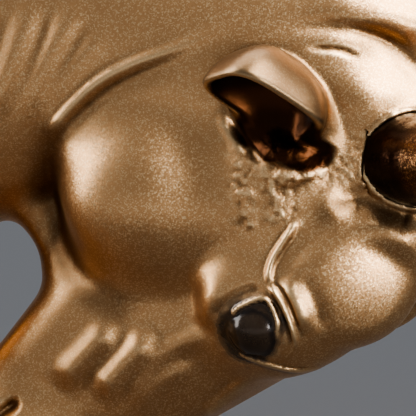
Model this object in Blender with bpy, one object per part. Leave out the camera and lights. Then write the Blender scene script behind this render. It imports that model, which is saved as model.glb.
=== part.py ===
# Bust of a bull: one casting of the lowered head on its neck, cut flat below, and two horns set in sockets.
# The bull faces +X, its right side is towards -Y, and the flat underside lies in the plane z = 0.
# Free-form shapes are given in hundredths of HEAD_LENGTH, so that the head keeps its proportions at any size;
# the overall reaches, the walls and the fits have sizes of their own.
from concurrent.futures import ThreadPoolExecutor
from math import cos, pi, radians, sin

import bmesh
import bpy
import numpy as np
import openvdb
from mathutils import Vector

# Poll to muzzle
HEAD_LENGTH = 0.078
# Flat underside to the top of the nape
NAPE_HEIGHT = 0.0936
# From the origin back to the end of the shoulders
SHOULDER_REACH = 0.0355
# Over the outsides of both horns
HORN_SPREAD = 0.0561
HORN_THICKNESS = 0.01076
SOCKET_DEPTH = 0.00702
SOCKET_CLEARANCE = 0.0003
EAR_WALL = 0.001

CASTING_TRIANGLES = 8200
HORN_SIDES = 16
HORN_CUTS = 3
SOCKET_SIDES = 36

UNIT = HEAD_LENGTH / 100
NAPE = NAPE_HEIGHT / UNIT
BACK = -SHOULDER_REACH / UNIT
HALF_SPREAD = HORN_SPREAD / 2 / UNIT
WALL = EAR_WALL / UNIT

GRID_STEP = 0.55
GRID_BLOCK = 4
GRID_LOW = (BACK - 10.0, -36.0, -8.0)
GRID_HIGH = (136.0, 36.0, NAPE + 4.0)
# A point of the rim that thinning left within this share of a grid step of the underside goes back onto it
RIM_SHARE = 0.07

# The face line drops this much below the horizontal, towards -X; the eye's station on the side of the head
FACE_DROP = 34.3
EYE_STATION = (94.6, 43.8)

# Head frame: along the face to the muzzle, out through the forehead, sideways from the middle plane
TAPERS = (
    ((-5.0, -3.2, 0.0), (42.0, -3.2, 0.0), 12.3, 9.2, 5.0),
    ((10.0, -11.5, 0.0), (43.5, -7.7, 0.0), 11.5, 8.2, 5.0),
    ((7.7, -21.2, 4.6), (41.0, -13.5, 3.2), 8.7, 5.9, 5.0),
)
HEAD_MASSES = (
    ((-16.7, -7.1, 0.0), (21.8, 16.0, 14.7), 5.1),
    ((-12.8, -1.3, 7.1), (16.7, 9.7, 9.2), 5.1),
    ((-32.1, -6.4, 0.0), (11.5, 12.8, 14.1), 5.1),
    ((-2.6, -0.3, 9.5), (11.3, 9.5, 7.9), 6.4),
    ((-7.7, -17.3, 5.8), (16.7, 12.8, 12.1), 6.4),
    ((16.7, -23.7, 0.0), (12.2, 7.1, 9.6), 3.8),
    ((18.5, -26.2, 0.0), (9.0, 7.6, 8.6), 2.6),
    ((45.5, -4.0, 0.0), (10.5, 9.5, 13.6), 5.1),
    ((49.0, -1.5, 7.6), (7.2, 7.2, 7.0), 2.6),
    ((47.0, -9.0, 4.5), (8.0, 5.0, 8.0), 2.6),
    ((42.9, -12.6, 0.0), (8.3, 5.9, 8.4), 3.0),
    ((5.4, -24.2, 8.4), (13.4, 12.9, 11.9), 6.0),
    ((1.7, -6.7, 14.2), (3.6, 3.4, 3.2), 3.0),
)
EYEBALL = ((1.3, -0.2, 14.4), 4.7)
# The side of the forehead and the top of the head over the horn are dressed to gentle domes:
# dome centre, dome radius, the dressed patch's middle on the side, its reach, its softness
FOREHEAD = ((-6.1, -5.0, -7.0), 26.0, (-15.0, 2.6), 9.5, 5.0)
POLL = ((99.2, -5.3, 68.5), 24.0, (111.5, 79.5), 11.5, 5.0)
NOSTRIL = ((55.2, 0.2, 8.8), (3.8, 2.4, 3.0))

# Bust frame: forwards, sideways, up
NECK_MASSES = (
    ((89.7, 0.0, 79.5), (32.1, 16.0, 30.8), 7.7),
    ((53.8, 0.0, NAPE - 30.9), (41.0, 19.2, 30.8), 10.3),
    ((BACK + 46.0, 0.0, 72.0), (46.0, 23.5, 42.0), 15.4),
    ((BACK + 42.5, 0.0, 14.0), (42.0, 27.0, 56.0), 14.0),
    ((BACK + 47.5, 15.0, 48.0), (22.0, 12.2, 34.0), 10.3),
    ((BACK + 72.0, 0.0, 22.0), (10.0, 11.5, 27.0), 9.0),
    ((57.6, 0.0, 58.0), (4.2, 6.0, 4.2), 5.0),
)
EAR_CENTRE = (95.2, 20.9, 75.6)
EAR_ALONG = (-0.64, 0.56, 0.52)
EAR_MOUTH = (-0.37, 0.65, -0.66)
EAR_RADII = (9.4, 6.7, 9.4)
# The ear's mouth is cut this far in front of its middle, and is squarer than an oval
EAR_CUT = -0.4
EAR_FULLNESS = 3.6
EAR_ROOT = ((101.5, 10.3, 70.6), 4.2, 5.0)
EAR_LOBE = ((97.6, 14.8, 67.6), (5.4, 4.0, 3.6))

# The horn leaves the head here, turned out by so many degrees, and then runs through these points: forwards,
# sideways as a share of half the spread, up. Its thickness is in shares of that at the root.
HORN_MOUTH = (120.2, 15.6, 68.0)
HORN_TOE = 45.0
HORN_COURSE = ((129.5, 0.684, 68.8), (139.5, 0.851, 72.2), (148.5, 0.887, 78.6), (154.3, 0.829, 86.9))
HORN_TAPER = (1.0, 1.0, 0.985, 0.913, 0.754, 0.507, 0.116)

CRISP = 1.4
SOFT = 2.1
# Folds of the skin, drawn on the side of the head:
# course, width, height (a groove's is negative), fade in, fade out
FOLDS = (
    # fold that sweeps round the cheek, and the groove inside it
    (((13.5, -40.6), (7.0, -42.3), (-5.0, -42.3), (-25.7, -38.8)), CRISP, 1.2, 0.12, 0.5),
    (((10.9, -39.3), (-2.1, -40.9), (-14.2, -37.8)), CRISP, -0.6, 0.3, 0.4),
    # crevice between the cheek and the throat
    (((8.4, -41.3), (14.0, -39.3), (19.0, -34.7), (21.4, -29.9), (22.1, -25.0), (19.5, -14.1)), SOFT, -1.7, 0.3, 0.3),
    # nape
    (((-23.5, -35.4), (-33.8, -29.5), (-38.8, -18.9), (-38.9, -13.2)), CRISP, -0.9, 0.4, 0.2),
    (((-29.9, -35.3), (-39.7, -27.2), (-41.9, -20.8)), SOFT, 0.8, 0.4, 0.2),
    # side of the muzzle
    (((34.6, -9.3), (26.1, -11.0), (19.4, -12.6)), SOFT, 1.2, 0.3, 0.3),
    (((30.2, -4.4), (20.3, -6.9), (15.2, -7.6)), SOFT, 1.4, 0.3, 0.3),
    # brow, and the hollow between the forehead and the horn
    (((-13.7, -10.2), (-7.1, -7.2), (-4.2, -3.5)), CRISP, 0.8, 0.3, 0.2),
    (((-5.4, -4.2), (-5.6, 0.4), (-3.4, 5.6)), CRISP, 1.0, 0.3, 0.3),
    (((-17.2, -8.7), (-25.6, -3.4), (-28.0, 0.4)), SOFT, -1.7, 0.3, 0.2),
)
# Between these distances from the middle plane a fold comes up to its full height
FOLD_START = (2.0, 6.0)
# The mouth runs from its corner round the muzzle and through the middle plane
MOUTH = (((39.6, -11.0), (46.5, -10.4), (53.0, -9.6), (58.0, -9.3)), 1.0, -1.5, 0.15, 0.0)


def head_axes():
    drop = radians(FACE_DROP)
    return np.array([[-cos(drop), 0, -sin(drop)], [sin(drop), 0, -cos(drop)]], np.float32)


def in_head_frame(p):
    """Points of the bust, either side, as (to the muzzle, out of the forehead, sideways)."""
    station = np.array([EYE_STATION[0], 0, EYE_STATION[1]], np.float32)
    along, out = ((p - station) @ head_axes().T).T
    return np.stack([along, out, np.abs(p[:, 1])], axis=1)


def joined(a, b, blend):
    """Both forms, with a fillet where they meet."""
    h = np.maximum(blend - np.abs(a - b), 0) / blend
    return np.minimum(a, b) - h * h * blend / 4


def hollowed(a, b, blend):
    return -joined(-a, b, blend)


def ellipsoid(q, centre, radii):
    radii = np.array(radii, np.float32)
    s = (q - np.array(centre, np.float32)) / radii
    near = np.linalg.norm(s, axis=1) + 1e-6
    slope = np.linalg.norm(s / radii, axis=1) + 1e-6
    return near * (near - 1) / slope


def taper(q, start, end, start_radius, end_radius):
    start, end = np.array(start, np.float32), np.array(end, np.float32)
    way = end - start
    share = np.clip(((q - start) @ way) / (way @ way), 0, 1)
    radius = start_radius + (end_radius - start_radius) * share
    return np.linalg.norm(q - start - share[:, None] * way, axis=1) - radius


def rounded_course(points, cuts=6):
    """A smooth curve through the given points, as short straight lengths."""
    points = np.array(points, float)
    if len(points) < 3:
        return points
    ends = np.vstack([2 * points[0] - points[1], points, 2 * points[-1] - points[-2]])
    t = np.linspace(0, 1, cuts, endpoint=False)[:, None]
    runs = []
    for a, b, c, d in zip(ends, ends[1:], ends[2:], ends[3:]):
        bend = (2 * a - 5 * b + 4 * c - d) * t ** 2 + (3 * b - a - 3 * c + d) * t ** 3
        runs.append(0.5 * (2 * b + (c - a) * t + bend))
    return np.vstack([*runs, points[-1:]])


def nearest_on_course(q, course):
    """Distance to the course, and how far along it, from 0 to 1."""
    lengths = np.concatenate([[0], np.cumsum(np.linalg.norm(np.diff(course, axis=0), axis=1))])
    best, share = np.full(len(q), 1e9), np.zeros(len(q))
    for i, (a, b) in enumerate(zip(course, course[1:])):
        h = np.clip(((q - a) @ (b - a)) / ((b - a) @ (b - a)), 0, 1)
        distance = np.linalg.norm(q - a - h[:, None] * (b - a), axis=1)
        nearer = distance < best
        best[nearer] = distance[nearer]
        share[nearer] = (lengths[i] + h * (lengths[i + 1] - lengths[i]))[nearer] / lengths[-1]
    return best, share


def eased(t):
    t = np.clip(t, 0, 1)
    return t * t * (3 - 2 * t)


def folded(d, q, fold, start=FOLD_START):
    """The form with one fold raised on it, or one groove sunk into it."""
    points, width, height, fade_in, fade_out = fold
    course = rounded_course(points)
    side = q[:, :2]
    reach = 2.6 * width
    near = np.all((side > course.min(0) - reach) & (side < course.max(0) + reach), axis=1)
    distance, share = nearest_on_course(side[near], course)
    strength = np.exp(-(distance / width) ** 2)
    if start:
        strength *= eased((q[near, 2] - start[0]) / (start[1] - start[0]))
    for fade, run in ((fade_in, share), (fade_out, 1 - share)):
        if fade:
            strength *= eased(run / fade)
    d = d.copy()
    d[near] -= height * strength
    return d


def ear_frame():
    along = np.array(EAR_ALONG) / np.linalg.norm(EAR_ALONG)
    mouth = np.array(EAR_MOUTH) - np.dot(EAR_MOUTH, along) * along
    mouth /= np.linalg.norm(mouth)
    return np.array([along, np.cross(mouth, along), mouth], np.float32)


def pillow(r, centre, radii):
    """An ellipsoid made squarer in its first two directions."""
    r = r - np.array(centre, np.float32)
    part = np.abs(r) / np.array(radii, np.float32)
    flat = (part[:, 0] ** EAR_FULLNESS + part[:, 1] ** EAR_FULLNESS) ** (1 / EAR_FULLNESS)
    share = np.maximum(np.hypot(flat, part[:, 2]), 0.01)
    return np.linalg.norm(r, axis=1) * (1 - 1 / share)


def ear_form(q):
    """A cupped leaf cut off at its mouth, on a short root with a lobe below."""
    axes = ear_frame()
    centre = np.array(EAR_CENTRE, np.float32)
    r = (q - centre) @ axes.T
    inner = np.array(EAR_RADII) - WALL
    inner[2] -= WALL
    cup = pillow(r, (0.25, 0, 1.0), inner)
    leaf = -joined(-pillow(r, (0, 0, 0), EAR_RADII), EAR_CUT - r[:, 2], 0.9)
    root_end, tip_radius, root_radius = EAR_ROOT
    root_start = centre - 5.8 * axes[0] - 3.8 * axes[2]
    root = taper(q, root_start, root_end, tip_radius, root_radius)
    ear = joined(hollowed(leaf, cup, 0.8), hollowed(root, cup, 0.8), 1.3)
    return joined(ear, ellipsoid(q, *EAR_LOBE), 0.7)


def dressed(d, q, beside_middle, sideways, patch):
    """The form with a patch of its side worked over to a part of a large ball."""
    centre, radius, middle, reach, softness = patch
    dome = np.linalg.norm(q - np.array(centre, np.float32), axis=1) - radius
    off = np.linalg.norm(beside_middle - np.array(middle, np.float32), axis=1)
    return d + eased((reach - off) / softness) * eased((sideways - 5) / 4) * (dome - d)


def head_form(h):
    d = None
    for start, end, start_radius, end_radius, blend in TAPERS:
        bar = taper(h, start, end, start_radius, end_radius)
        d = bar if d is None else joined(d, bar, blend)
    for centre, radii, blend in HEAD_MASSES:
        d = joined(d, ellipsoid(h, centre, radii), blend)
    d = dressed(d, h, h[:, :2], h[:, 2], FOREHEAD)
    return hollowed(d, ellipsoid(h, *NOSTRIL), 1.6)


def neck_form(q):
    d = None
    for centre, radii, blend in NECK_MASSES:
        mass = ellipsoid(q, centre, radii)
        d = mass if d is None else joined(d, mass, blend)
    return d


def casting_form(p):
    """Negative inside the casting, positive outside, nought on its skin."""
    q = np.column_stack([p[:, 0], np.abs(p[:, 1]), p[:, 2]])
    h = in_head_frame(p)
    d = joined(neck_form(q), head_form(h), 3.8)
    d = dressed(d, q, q[:, ::2], q[:, 1], POLL)
    for fold in FOLDS:
        d = folded(d, h, fold)
    d = folded(d, h, MOUTH, None)
    d = joined(d, ear_form(q), 1.5)
    ball_centre, ball_radius = EYEBALL
    ball = np.linalg.norm(h - np.array(ball_centre, np.float32), axis=1) - ball_radius
    return joined(d, ball, 0.6)


def sampled(form, points, portion=150000):
    parts = [points[i:i + portion] for i in range(0, len(points), portion)]
    with ThreadPoolExecutor(4) as pool:
        return np.concatenate(list(pool.map(form, parts)))


def skin_of(form, low, high, step):
    """Points and faces of the form's skin; only the blocks near it are sampled finely."""
    low = np.array(low)
    size = GRID_BLOCK * step
    blocks = np.ceil((np.array(high) - low) / size).astype(int)
    middles = np.stack(np.meshgrid(*[np.arange(n) for n in blocks], indexing="ij"), -1).reshape(-1, 3)
    coarse = sampled(form, (low + (middles + 0.5) * size - step / 2).astype(np.float32)).reshape(blocks)
    grid = np.kron(np.sign(coarse) * size, np.ones((GRID_BLOCK,) * 3)).astype(np.float32)
    offsets = np.stack(np.meshgrid(*[np.arange(GRID_BLOCK)] * 3, indexing="ij"), -1).reshape(1, -1, 3)
    cells = (np.argwhere(np.abs(coarse) < 1.7 * size)[:, None, :] * GRID_BLOCK + offsets).reshape(-1, 3)
    grid[tuple(cells.T)] = sampled(form, (low + cells * step).astype(np.float32))
    volume = openvdb.FloatGrid(size)
    volume.copyFromArray(grid)
    points, triangles, quads = volume.convertToPolygons(0.0, 0.0)
    return points * step + low, [tuple(f[::-1]) for f in quads] + [tuple(f[::-1]) for f in triangles]


def new_object(name, mesh, collection):
    obj = bpy.data.objects.new(name, mesh)
    collection.objects.link(obj)
    return obj


def with_modifiers_applied(obj):
    """Swap the object's mesh for what its modifiers make of it."""
    mesh = bpy.data.meshes.new_from_object(obj.evaluated_get(bpy.context.evaluated_depsgraph_get()))
    obj.modifiers.clear()
    obj.data = mesh
    return obj


def cut_flat(obj):
    """Cut off what hangs below z = 0 and close the cut with one flat face."""
    bm = bmesh.new()
    bm.from_mesh(obj.data)
    cut = bmesh.ops.bisect_plane(bm, geom=bm.verts[:] + bm.edges[:] + bm.faces[:], dist=1e-7,
                                 plane_co=(0, 0, 0), plane_no=(0, 0, -1), clear_outer=True)
    rim = [e for e in cut["geom_cut"] if isinstance(e, bmesh.types.BMEdge)]
    bmesh.ops.edgeloop_fill(bm, edges=rim)
    bmesh.ops.recalc_face_normals(bm, faces=bm.faces[:])
    bm.to_mesh(obj.data)
    bm.free()


def build_casting(collection):
    points, faces = skin_of(casting_form, GRID_LOW, GRID_HIGH, GRID_STEP)
    mesh = bpy.data.meshes.new("head_and_neck")
    mesh.from_pydata((points * UNIT).tolist(), [], faces)
    obj = new_object("head_and_neck", mesh, collection)
    cut_flat(obj)
    thin = obj.modifiers.new("thin", "DECIMATE")
    thin.ratio = CASTING_TRIANGLES / (2 * len(faces))
    with_modifiers_applied(obj)
    for v in obj.data.vertices:
        if abs(v.co.z) < RIM_SHARE * GRID_STEP * UNIT:
            v.co.z = 0.0
    obj.data.shade_smooth()
    return obj


def horn_way(side):
    """The way the plug points, out of the head; side = 1 for the horn at +Y, -1 for the one at -Y."""
    toe = radians(HORN_TOE)
    return np.array([cos(toe), side * sin(toe), 0])


def horn_seat(side):
    """The end of the horn's plug."""
    return np.array(HORN_MOUTH) * UNIT * (1, side, 1) - horn_way(side) * SOCKET_DEPTH


def horn_course(side):
    """The horn's middle line."""
    seat, way = horn_seat(side), horn_way(side)
    curl = [np.array([x, side * share * HALF_SPREAD, z]) * UNIT for x, share, z in HORN_COURSE]
    return rounded_course([seat, seat + way * SOCKET_DEPTH / 2, seat + way * SOCKET_DEPTH, *curl], HORN_CUTS)


def build_horn(name, side, collection):
    """A tapering round tube along the horn's middle line, made a closed mesh."""
    course = horn_course(side)
    steps = np.linspace(0, 1, len(course))
    shares = np.interp(steps, np.linspace(0, 1, len(HORN_TAPER)), HORN_TAPER)
    curve = bpy.data.curves.new(name, "CURVE")
    curve.dimensions = "3D"
    curve.bevel_depth = HORN_THICKNESS / 2
    curve.bevel_resolution = HORN_SIDES // 4
    curve.use_fill_caps = True
    spline = curve.splines.new("POLY")
    spline.points.add(len(course) - 1)
    for point, place, share in zip(spline.points, course, shares):
        point.co = (*place, 1)
        point.radius = share
    obj = new_object(name + "_curve", curve, collection)
    mesh = bpy.data.meshes.new_from_object(obj.evaluated_get(bpy.context.evaluated_depsgraph_get()))
    bpy.data.objects.remove(obj)
    bm = bmesh.new()
    bm.from_mesh(mesh)
    bmesh.ops.remove_doubles(bm, verts=bm.verts[:], dist=1e-6)
    bmesh.ops.recalc_face_normals(bm, faces=bm.faces[:])
    bm.to_mesh(mesh)
    bm.free()
    mesh.name = name
    mesh.materials.clear()
    mesh.shade_smooth()
    return new_object(name, mesh, collection)


def cut_socket(casting, name, side, cutters):
    """A round socket a clearance larger than the horn's plug, and a clearance deeper."""
    way = Vector(horn_way(side))
    floor = Vector(horn_seat(side)) - way * SOCKET_CLEARANCE
    length = 2.2 * SOCKET_DEPTH
    bm = bmesh.new()
    radius = HORN_THICKNESS / 2 / cos(pi / SOCKET_SIDES) + SOCKET_CLEARANCE
    bmesh.ops.create_cone(bm, cap_ends=True, segments=SOCKET_SIDES, radius1=radius, radius2=radius, depth=length)
    mesh = bpy.data.meshes.new(name)
    bm.to_mesh(mesh)
    bm.free()
    cutter = new_object(name, mesh, cutters)
    cutter.rotation_mode = "QUATERNION"
    cutter.rotation_quaternion = way.to_track_quat("Z", "Y")
    cutter.location = floor + way * length / 2
    cutter.display_type = "WIRE"
    cutter.hide_render = True
    socket = casting.modifiers.new(name, "BOOLEAN")
    socket.operation = "DIFFERENCE"
    socket.solver = "EXACT"
    socket.object = cutter


def painted(obj, name, colour, roughness):
    material = bpy.data.materials.new(name)
    material.use_nodes = True
    shader = material.node_tree.nodes["Principled BSDF"]
    shader.inputs["Base Color"].default_value = (*colour, 1.0)
    shader.inputs["Metallic"].default_value = 1.0
    shader.inputs["Roughness"].default_value = roughness
    obj.data.materials.append(material)


def main():
    for obj in list(bpy.data.objects):
        bpy.data.objects.remove(obj, do_unlink=True)
    bust = bpy.data.collections.new("bull_bust")
    cutters = bpy.data.collections.new("bull_bust_cutters")
    bpy.context.scene.collection.children.link(bust)
    bpy.context.scene.collection.children.link(cutters)
    casting = build_casting(bust)
    painted(casting, "bronze_paint_skin", (0.42, 0.24, 0.10), 0.35)
    for name, side in (("horn_left", 1), ("horn_right", -1)):
        horn = build_horn(name, side, bust)
        painted(horn, "bronze_paint_" + name, (0.20, 0.11, 0.05), 0.25)
        cut_socket(casting, "socket_of_" + name, side, cutters)


main()
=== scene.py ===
from concurrent.futures import ThreadPoolExecutor
from math import cos, pi, radians, sin

import bmesh
import bpy
import numpy as np
import openvdb
from bpy.props import FloatProperty, FloatVectorProperty, IntProperty, PointerProperty
from bpy.types import Operator, Panel, PropertyGroup
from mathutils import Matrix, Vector


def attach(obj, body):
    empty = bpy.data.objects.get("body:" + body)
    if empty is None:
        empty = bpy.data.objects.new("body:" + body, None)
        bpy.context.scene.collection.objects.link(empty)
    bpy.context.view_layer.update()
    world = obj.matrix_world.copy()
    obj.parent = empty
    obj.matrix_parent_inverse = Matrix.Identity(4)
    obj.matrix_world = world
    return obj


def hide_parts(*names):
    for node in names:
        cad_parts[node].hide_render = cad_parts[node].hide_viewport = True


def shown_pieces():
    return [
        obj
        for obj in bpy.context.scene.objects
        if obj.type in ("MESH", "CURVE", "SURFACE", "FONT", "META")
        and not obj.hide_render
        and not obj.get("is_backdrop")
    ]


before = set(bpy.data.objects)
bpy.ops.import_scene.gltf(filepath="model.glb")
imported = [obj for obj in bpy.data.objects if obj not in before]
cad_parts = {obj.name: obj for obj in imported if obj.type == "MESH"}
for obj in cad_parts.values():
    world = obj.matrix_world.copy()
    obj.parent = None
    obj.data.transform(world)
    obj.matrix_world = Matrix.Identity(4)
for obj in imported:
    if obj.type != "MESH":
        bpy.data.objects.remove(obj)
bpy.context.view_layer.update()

bl_info = {
    "name": "Bull Bust",
    "version": (1, 0, 0),
    "blender": (4, 5, 0),
    "location": "3D Viewport > Sidebar > Bull Bust",
    "description": "Builds a bull's head in sparkling bronze paint, with its horns and a small studio",
    "category": "Add Mesh",
}

BODY = "root"

# The casting's own sizes, in metres
HEAD_LENGTH = 0.078
NAPE_HEIGHT = 0.0936
SHOULDER_REACH = 0.0355
HORN_SPREAD = 0.0561
HORN_THICKNESS = 0.01076
SOCKET_DEPTH = 0.00702
SOCKET_CLEARANCE = 0.0003
EAR_WALL = 0.001

# Everything else of the form is in hundredths of the head's length
UNIT = HEAD_LENGTH / 100
NAPE = NAPE_HEIGHT / UNIT
BACK = -SHOULDER_REACH / UNIT
HALF_SPREAD = HORN_SPREAD / 2 / UNIT
WALL = EAR_WALL / UNIT

# The skin is sampled in blocks of this many points a side, between these corners
GRID_BLOCK = 4
GRID_LOW = (BACK - 10.0, 0.0, -8.0)
GRID_HIGH = (136.0, 36.0, NAPE + 4.0)

# The face line drops this much below the horizontal, towards -X; the eye's station on the side of the head
FACE_DROP = 34.3
EYE_STATION = (94.6, 43.8)

# Head frame: along the face to the muzzle, out through the forehead, sideways from the middle plane.
# Round bars: start, end, a radius at each, how softly the bar runs into the rest
TAPERS = (
    ((-5.0, -3.2, 0.0), (42.0, -3.2, 0.0), 12.3, 9.2, 5.0),
    ((10.0, -11.5, 0.0), (43.5, -7.7, 0.0), 11.5, 8.2, 5.0),
    ((7.7, -21.2, 4.6), (41.0, -13.5, 3.2), 8.7, 5.9, 5.0),
)
# Oval masses: middle, radii, how softly the mass runs into the rest
HEAD_MASSES = (
    ((-16.7, -7.1, 0.0), (21.8, 16.0, 14.7), 5.1),
    ((-12.8, -1.3, 7.1), (16.7, 9.7, 9.2), 5.1),
    ((-32.1, -6.4, 0.0), (11.5, 12.8, 14.1), 5.1),
    ((-2.6, -0.3, 9.5), (11.3, 9.5, 7.9), 6.4),
    ((-7.7, -17.3, 5.8), (16.7, 12.8, 12.1), 6.4),
    ((16.7, -23.7, 0.0), (12.2, 7.1, 9.6), 3.8),
    ((18.5, -26.2, 0.0), (9.0, 7.6, 8.6), 2.6),
    ((45.5, -4.0, 0.0), (10.5, 9.5, 13.6), 5.1),
    ((49.0, -1.5, 7.6), (7.2, 7.2, 7.0), 2.6),
    ((47.0, -9.0, 4.5), (8.0, 5.0, 8.0), 2.6),
    ((42.9, -12.6, 0.0), (8.3, 5.9, 8.4), 3.0),
    ((5.6, -26.8, 8.4), (13.6, 13.6, 11.9), 4.6),
    ((1.5, -6.6, 14.5), (4.2, 3.8, 2.7), 4.2),
)
EYEBALL = ((1.3, -0.2, 14.4), 4.7)
NOSTRIL = ((55.2, 0.2, 8.8), (3.8, 2.4, 3.0))
# The side of the forehead and the top of the head over the horn are dressed to gentle domes:
# dome centre, dome radius, the dressed patch's middle on the side, its reach, its softness
FOREHEAD = ((-6.1, -5.0, -7.0), 26.0, (-14.0, 3.4), 10.5, 5.0)
POLL = ((99.2, -5.3, 68.5), 24.0, (111.5, 79.5), 10.0, 9.0)
# How far the forms run into each other where they meet
NECK_BLEND = 3.8
NOSTRIL_BLEND = 1.6
EAR_BLEND = 1.5
EAR_RIM_BLEND = 0.9
EAR_HOLLOW_BLEND = 0.8
EAR_ROOT_BLEND = 1.3
EAR_LOBE_BLEND = 0.7
EYE_BLEND = 0.6
BEAD_BLEND = 0.35
# Painted shade, in the wash's colour, behind the jaw and under the horn, and the ear's glaze with painted
# shade over the root and lobe under the ear: course, width, softness
CREVICE_SHADE = (
    ((12.0, -40.2), (18.6, -35.2), (21.6, -30.0), (22.4, -25.0), (21.6, -19.4), (19.0, -14.6)), 4.0, 3.4)
HORN_SHADE = (((-16.4, -8.4), (-20.2, -6.2), (-23.8, -3.2), (-27.5, 0.6)), 3.0, 2.8)
EAR_GLAZE_AND_SHADE = (((-15.6, -24.4), (-18.2, -20.6), (-20.2, -17.6)), 4.3, 1.2)
# The black paint round the eye: its middle on the side of the head, and how far it reaches
EYE_WASH = ((2.3, -0.3), (6.2, 5.2))
EYE_WASH_COVER = 0.93

# Bust frame: forwards, sideways, up. Oval masses as above
NECK_MASSES = (
    ((89.7, 0.0, 79.5), (32.1, 16.0, 30.8), 7.7),
    ((53.8, 0.0, NAPE - 30.9), (41.0, 19.2, 30.8), 10.3),
    ((BACK + 46.0, 0.0, 72.0), (46.0, 23.5, 42.0), 15.4),
    ((BACK + 42.5, 0.0, 14.0), (42.0, 27.0, 56.0), 14.0),
    ((BACK + 47.5, 15.0, 48.0), (22.0, 12.2, 34.0), 10.3),
    ((BACK + 72.0, 0.0, 22.0), (10.0, 11.5, 27.0), 9.0),
    ((57.6, 0.0, 58.0), (4.2, 6.0, 4.2), 5.0),
)
# The ear: its middle, the way it points, the way it opens, its radii, where it is cut off for its mouth, and
# how square it is
EAR_CENTRE = (95.2, 20.9, 75.6)
EAR_ALONG = (-0.64, 0.56, 0.52)
EAR_MOUTH = (-0.37, 0.65, -0.66)
EAR_RADII = (9.0, 6.8, 9.4)
EAR_CUT = -0.4
EAR_FULLNESS = 3.6
# Its hollow is moved this far along the ear and out of its mouth. Its root starts this far back along it and
# in from its mouth, and ends at this point, with a radius at each end
EAR_HOLLOW = (0.25, 0, 1.0)
EAR_ROOT_BACK = (5.8, 0, 3.8)
EAR_ROOT = ((101.5, 10.3, 70.6), 4.2, 5.0)
EAR_LOBE = ((97.6, 14.8, 67.6), (5.4, 4.0, 3.6))

# The horn: its socket's mouth, how far its plug is turned out from straight ahead, the points that it curls
# through (with the sideways place as a share of the half spread), and its thickness along the way
HORN_MOUTH = (120.2, 15.6, 68.0)
HORN_TOE = 45.0
HORN_COURSE = ((129.5, 0.684, 68.8), (139.5, 0.851, 72.2), (148.5, 0.887, 78.6), (154.3, 0.829, 86.9))
HORN_TAPER = (1.0, 1.0, 0.985, 0.913, 0.754, 0.507, 0.116)
HORN_CUTS = 12
TIP_TURNS = (30, 55, 75, 86)

# Folds of the skin, drawn on the side of the head in the head frame:
# course, width, height (a groove's is negative), fade in, fade out
NECK_FOLDS = (
    # the thin fold that sweeps round the cheek to the nape, and the groove inside it
    (((13.5, -40.6), (6.9, -42.2), (0.9, -42.9), (-5.1, -42.3), (-11.3, -40.8), (-17.2, -39.6),
      (-25.7, -38.8)), 1.0, 0.8, 0.12, 0.6),
    (((10.9, -39.3), (3.7, -40.8), (-2.1, -40.9), (-7.4, -39.7), (-14.2, -37.8)),
     1.6, -0.4, 0.3, 0.4),
    # soft pleats that fan out over the neck
    (((-6.3, -49.4), (-0.7, -47.6), (5.9, -45.8), (11.2, -44.6)), 1.6, 0.4, 0.3, 0.4),
    (((-5.0, -51.7), (0.6, -49.4), (7.8, -46.4), (13.1, -44.8)), 1.6, -0.3, 0.3, 0.4),
    (((-5.3, -55.4), (1.6, -51.6), (8.9, -47.9), (16.0, -44.5)), 2.0, 0.6, 0.3, 0.3),
    (((-1.8, -57.8), (4.7, -52.9), (12.2, -48.2), (17.3, -45.4)), 1.8, -0.4, 0.3, 0.3),
    (((0.4, -59.3), (6.6, -54.5), (13.4, -50.1), (19.2, -46.7)), 2.0, 0.6, 0.3, 0.3),
    (((3.9, -61.6), (9.9, -56.7), (16.1, -51.9), (21.4, -48.2)), 1.8, -0.4, 0.3, 0.3),
    (((6.7, -63.5), (12.6, -58.6), (19.0, -53.9), (24.6, -50.3)), 2.0, 0.55, 0.3, 0.3),
    # nape
    (((-23.5, -35.4), (-28.7, -33.3), (-33.8, -29.5), (-37.1, -25.1), (-38.8, -18.9), (-38.9, -13.2)),
     1.3, -0.8, 0.4, 0.2),
    (((-29.9, -35.3), (-35.4, -31.9), (-39.7, -27.2), (-41.9, -20.8)), 2.6, 0.7, 0.4, 0.2),
    (((-27.4, -30.2), (-31.0, -27.6), (-33.4, -24.4)), 0.5, -0.5, 0.3, 0.3),
)
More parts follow.
